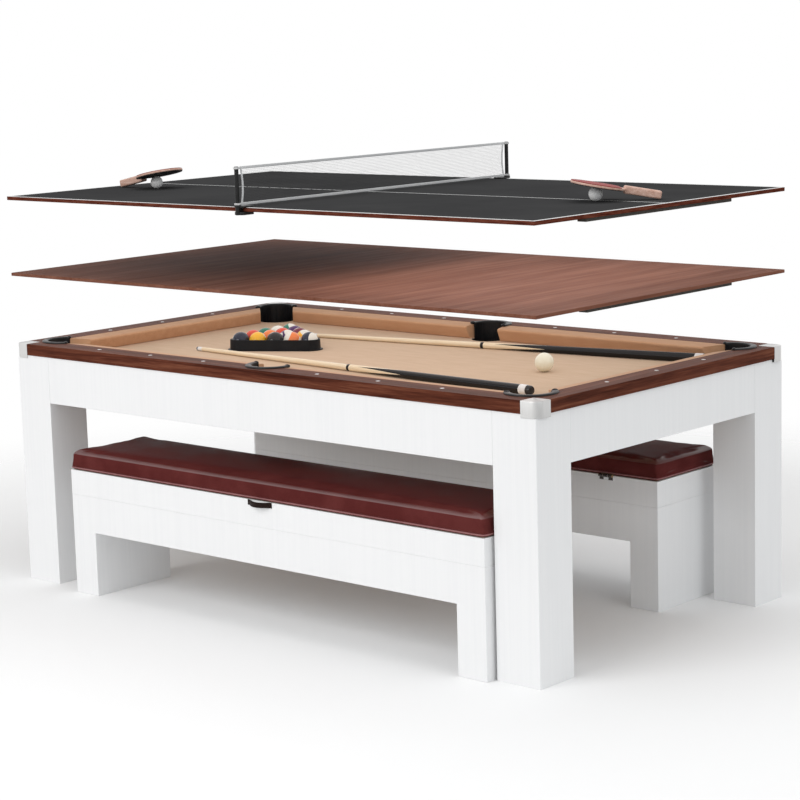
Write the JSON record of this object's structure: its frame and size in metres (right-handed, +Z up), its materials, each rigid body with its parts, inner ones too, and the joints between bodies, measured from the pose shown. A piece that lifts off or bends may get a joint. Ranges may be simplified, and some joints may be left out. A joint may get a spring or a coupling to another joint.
{
  "type": "multi game table",
  "caption": "Long pool table on square white legs, with loose dining and table tennis tops lifted above it, their games, and padded storage benches tucked under it.",
  "frame": {"origin": "on the floor under the middle of the table, at the centre of the base of the set's bounding box", "axes": "+X along the table's length, +Y from the front to the back, +Z up"},
  "size_m": [2.134, 1.2753, 1.368],
  "materials": {
    "white_lacquer": "satin white lacquer on wood board",
    "walnut": "satin reddish walnut",
    "cap_aluminium": "brushed",
    "black_plastic": "satin black",
    "cloth": "tan wool cloth",
    "raw_wood": "plain board",
    "rack_plastic": "satin black",
    "ball_resin": "polished",
    "ivory_resin": "polished",
    "cue_maple": "lacquered maple",
    "dining_wood": "satin reddish walnut",
    "felt": "dark felt",
    "tennis_paint": "satin charcoal paint",
    "post_black": "satin black",
    "net_grey": "woven tape and mesh",
    "paddle_wood": "light wood",
    "white_plastic": "matt white",
    "maroon_leather": "soft sheen maroon leather",
    "dark_leather": "dark leather"
  },
  "bodies": {
    "table": {"leg_front_left": "white_lacquer", "corner_cap_front_left": "cap_aluminium", "pocket_front_left": "black_plastic", "leg_front_right": "white_lacquer", "corner_cap_front_right": "cap_aluminium", "pocket_front_right": "black_plastic", "leg_back_left": "white_lacquer", "corner_cap_back_left": "cap_aluminium", "pocket_back_left": "black_plastic", "leg_back_right": "white_lacquer", "corner_cap_back_right": "cap_aluminium", "pocket_back_right": "black_plastic", "apron_front": "white_lacquer", "rail_front": "walnut", "apron_back": "white_lacquer", "rail_back": "walnut", "apron_left": "white_lacquer", "rail_left": "walnut", "apron_right": "white_lacquer", "rail_right": "walnut", "cushion_front_left": "cloth", "cushion_front_right": "cloth", "cushion_back_left": "cloth", "cushion_back_right": "cloth", "cushion_left": "cloth", "cushion_right": "cloth", "pocket_front_middle": "black_plastic", "pocket_back_middle": "black_plastic", "playing_bed": "cloth", "centre_beam": "raw_wood", "ball_rack": "rack_plastic", "racked_balls": "ball_resin", "cue_ball": "ivory_resin", "cue_near": "cue_maple", "cue_far": "cue_maple"},
    "dining_top_body": {"dining_top": "dining_wood", "dining_pad_left": "felt", "dining_pad_right": "felt"},
    "tennis_top_body": {"tennis_top": "tennis_paint", "tennis_pad_left": "felt", "tennis_pad_right": "felt", "net_post_front": "post_black", "net_post_back": "post_black", "net": "net_grey", "paddle_left": "paddle_wood", "paddle_right": "paddle_wood", "tennis_ball_left": "white_plastic", "tennis_ball_right": "white_plastic"},
    "front_bench_frame": {"front_bench_base": "white_lacquer", "front_bench_box": "white_lacquer"},
    "front_bench_lid_body": {"front_bench_lid": "raw_wood", "front_bench_cushion": "maroon_leather", "front_bench_pull": "dark_leather"},
    "back_bench_frame": {"back_bench_base": "white_lacquer", "back_bench_box": "white_lacquer"},
    "back_bench_lid_body": {"back_bench_lid": "raw_wood", "back_bench_cushion": "maroon_leather", "back_bench_pull": "dark_leather"}
  },
  "joints": [
    {"name": "dining_top_lift", "type": "slide", "parent": "table", "child": "dining_top_body", "axis": [0, 0, 1], "range_m": [-0.2044, 0]},
    {"name": "tennis_top_lift", "type": "slide", "parent": "dining_top_body", "child": "tennis_top_body", "axis": [0, 0, 1], "range_m": [-0.2204, 0]},
    {"name": "front_bench_slide", "type": "slide", "parent": "table", "child": "front_bench_frame", "axis": [0, -1, 0], "range_m": [0, 0.55]},
    {"name": "back_bench_slide", "type": "slide", "parent": "table", "child": "back_bench_frame", "axis": [0, 1, 0], "range_m": [0, 0.55]},
    {"name": "front_bench_lid_hinge", "type": "hinge", "parent": "front_bench_frame", "child": "front_bench_lid_body", "pos_m": [0.057, -0.3145, 0.398], "axis": [-1, 0, 0], "range_deg": [0, 22]},
    {"name": "back_bench_lid_hinge", "type": "hinge", "parent": "back_bench_frame", "child": "back_bench_lid_body", "pos_m": [0.015, 0.2262, 0.398], "axis": [1, 0, 0], "range_deg": [0, 45]}
  ]
}
